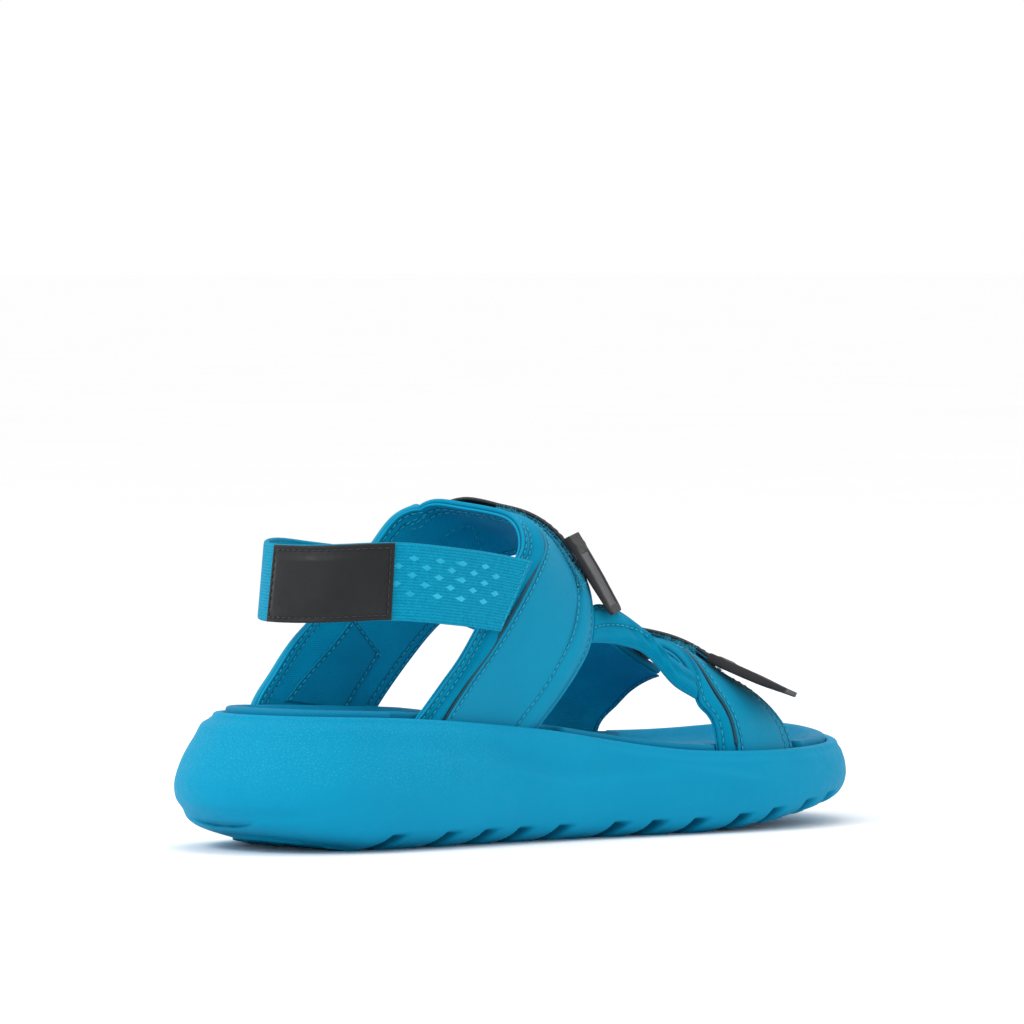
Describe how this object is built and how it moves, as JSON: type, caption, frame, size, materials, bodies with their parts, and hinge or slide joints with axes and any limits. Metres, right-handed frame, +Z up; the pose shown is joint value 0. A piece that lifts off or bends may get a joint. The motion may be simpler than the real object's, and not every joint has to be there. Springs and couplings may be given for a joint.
{
  "type": "strappy sport sandal",
  "caption": "Right-foot sport sandal with a thick moulded foam sole, padded side quarters, two hook-and-loop straps with pull tabs and an elastic heel band.",
  "frame": {"origin": "on the ground under the middle of the sole", "axes": "+X towards the toe, +Y towards the inner (medial) side of a right foot, +Z up"},
  "size_m": [0.298, 0.1113, 0.1199],
  "materials": {
    "sole_foam": "moulded EVA foam with a fine leather-like grain",
    "footbed_foam": "moulded EVA foam, fine pebble",
    "upper_leather": "satin coated synthetic leather",
    "collar_textile": "smooth padded textile",
    "lining_textile": "darker woven lining",
    "elastic_webbing": "ribbed elastic webbing",
    "hook_loop": "hook-and-loop fastener",
    "dark_strap": "dark warm grey coated strap",
    "dark_piping": "dark warm grey piping",
    "tab_rubber": "matt dark warm grey rubber",
    "patch_leather": "dark grey debossed synthetic leather"
  },
  "bodies": {
    "sandal": {"midsole": "sole_foam", "footbed": "footbed_foam", "lateral_quarter_lining": "lining_textile", "lateral_quarter_padding": "collar_textile", "lateral_quarter_overlay": "upper_leather", "lateral_quarter_piping": "dark_piping", "medial_quarter_lining": "lining_textile", "medial_quarter_overlay": "upper_leather", "medial_quarter_panel": "lining_textile", "lateral_bridge": "collar_textile", "medial_bridge": "collar_textile", "lateral_anchor_lining": "lining_textile", "lateral_anchor_padding": "collar_textile", "lateral_anchor_overlay": "upper_leather", "lateral_anchor_piping": "dark_piping", "medial_anchor_lining": "lining_textile", "medial_anchor_overlay": "upper_leather", "instep_loop_patch": "hook_loop", "toe_loop_patch": "hook_loop", "heel_band_lateral_end": "elastic_webbing", "heel_band_medial_end": "elastic_webbing"},
    "instep_closure": {"instep_strap": "dark_strap", "instep_hook_strip": "hook_loop", "instep_pull_tab": "tab_rubber"},
    "toe_closure": {"toe_strap": "dark_strap", "toe_hook_strip": "hook_loop", "toe_pull_tab": "tab_rubber"},
    "heel_strap": {"heel_band": "elastic_webbing", "heel_patch": "patch_leather"}
  },
  "joints": [
    {"name": "instep_strap_open", "type": "hinge", "parent": "sandal", "child": "instep_closure", "pos_m": [-0.0188, 0.03458, 0.08965], "axis": [-0.9071, -0.0299, 0.4198], "range_deg": [0, 110]},
    {"name": "toe_strap_open", "type": "hinge", "parent": "sandal", "child": "toe_closure", "pos_m": [0.06285, 0.04232, 0.0517], "axis": [-0.9421, -0.0494, 0.3318], "range_deg": [0, 110]},
    {"name": "heel_band_swing", "type": "hinge", "parent": "sandal", "child": "heel_strap", "pos_m": [-0.062, 0, 0.091], "axis": [0, 1, 0], "range_deg": [-4, 30]}
  ]
}
